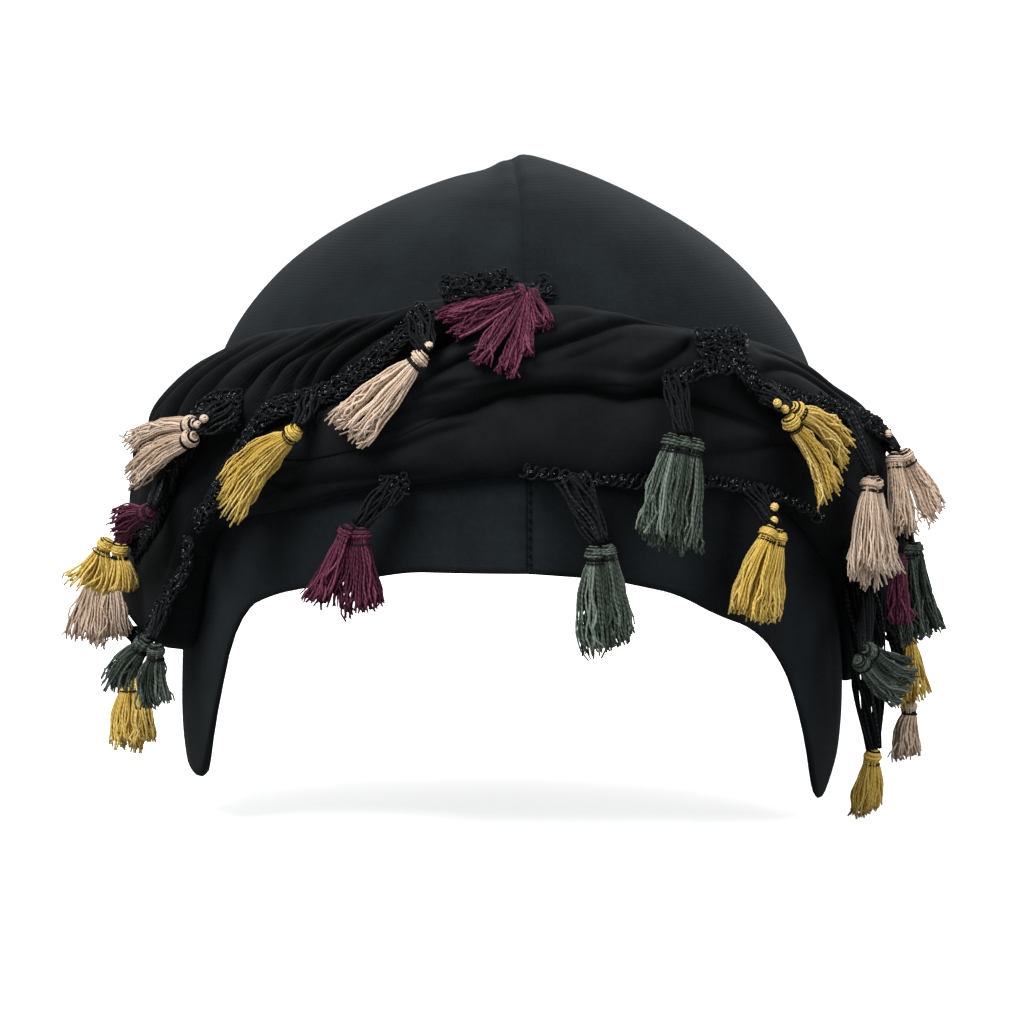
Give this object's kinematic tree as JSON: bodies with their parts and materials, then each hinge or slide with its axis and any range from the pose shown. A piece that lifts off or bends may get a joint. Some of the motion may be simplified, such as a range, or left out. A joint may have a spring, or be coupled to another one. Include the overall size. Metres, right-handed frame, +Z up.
{
  "type": "tassel cap",
  "caption": "Black jersey cap with ear flaps, bound round with a folded black scarf whose crocheted edge carries yarn tassels in tan, mustard, burgundy and green.",
  "frame": {"origin": "highest point of the inside of the crown, where the head bears", "axes": "+Z up, the front of the cap faces -Y, +X to the right of a viewer who faces it"},
  "size_m": [0.2232, 0.2251, 0.1643],
  "materials": {
    "cap_jersey": "matt knitted jersey",
    "scarf_cotton": "soft matt crepe weave",
    "edging_yarn": "crocheted plied yarn",
    "tassel_tan": "plied cotton yarn, soft sheen",
    "tassel_mustard": "plied cotton yarn, soft sheen",
    "tassel_burgundy": "plied cotton yarn, soft sheen",
    "tassel_green": "plied cotton yarn, soft sheen"
  },
  "bodies": {
    "root": {"crown_left": "cap_jersey", "crown_right": "cap_jersey", "edging_back": "edging_yarn", "edging_front": "edging_yarn", "edging_knot": "edging_yarn", "edging_left": "edging_yarn", "edging_low_left": "edging_yarn", "edging_low_right": "edging_yarn", "edging_right": "edging_yarn", "edging_side_left": "edging_yarn", "edging_top": "edging_yarn", "tassel_burgundy_1": "tassel_burgundy", "tassel_burgundy_2": "tassel_burgundy", "tassel_burgundy_3": "tassel_burgundy", "tassel_burgundy_4": "tassel_burgundy", "tassel_burgundy_5": "tassel_burgundy", "tassel_burgundy_6": "tassel_burgundy", "tassel_green_1": "tassel_green", "tassel_green_2": "tassel_green", "tassel_green_3": "tassel_green", "tassel_green_4": "tassel_green", "tassel_green_5": "tassel_green", "tassel_green_6": "tassel_green", "tassel_mustard_1": "tassel_mustard", "tassel_mustard_2": "tassel_mustard", "tassel_mustard_3": "tassel_mustard", "tassel_mustard_4": "tassel_mustard", "tassel_mustard_5": "tassel_mustard", "tassel_mustard_6": "tassel_mustard", "tassel_mustard_7": "tassel_mustard", "tassel_mustard_8": "tassel_mustard", "tassel_tan_1": "tassel_tan", "tassel_tan_2": "tassel_tan", "tassel_tan_3": "tassel_tan", "tassel_tan_4": "tassel_tan", "tassel_tan_5": "tassel_tan", "tassel_tan_6": "tassel_tan", "tassel_tan_7": "tassel_tan", "tassel_tan_8": "tassel_tan", "wrap_left": "scarf_cotton", "wrap_lower": "scarf_cotton", "wrap_right": "scarf_cotton"}
  },
  "joints": []
}
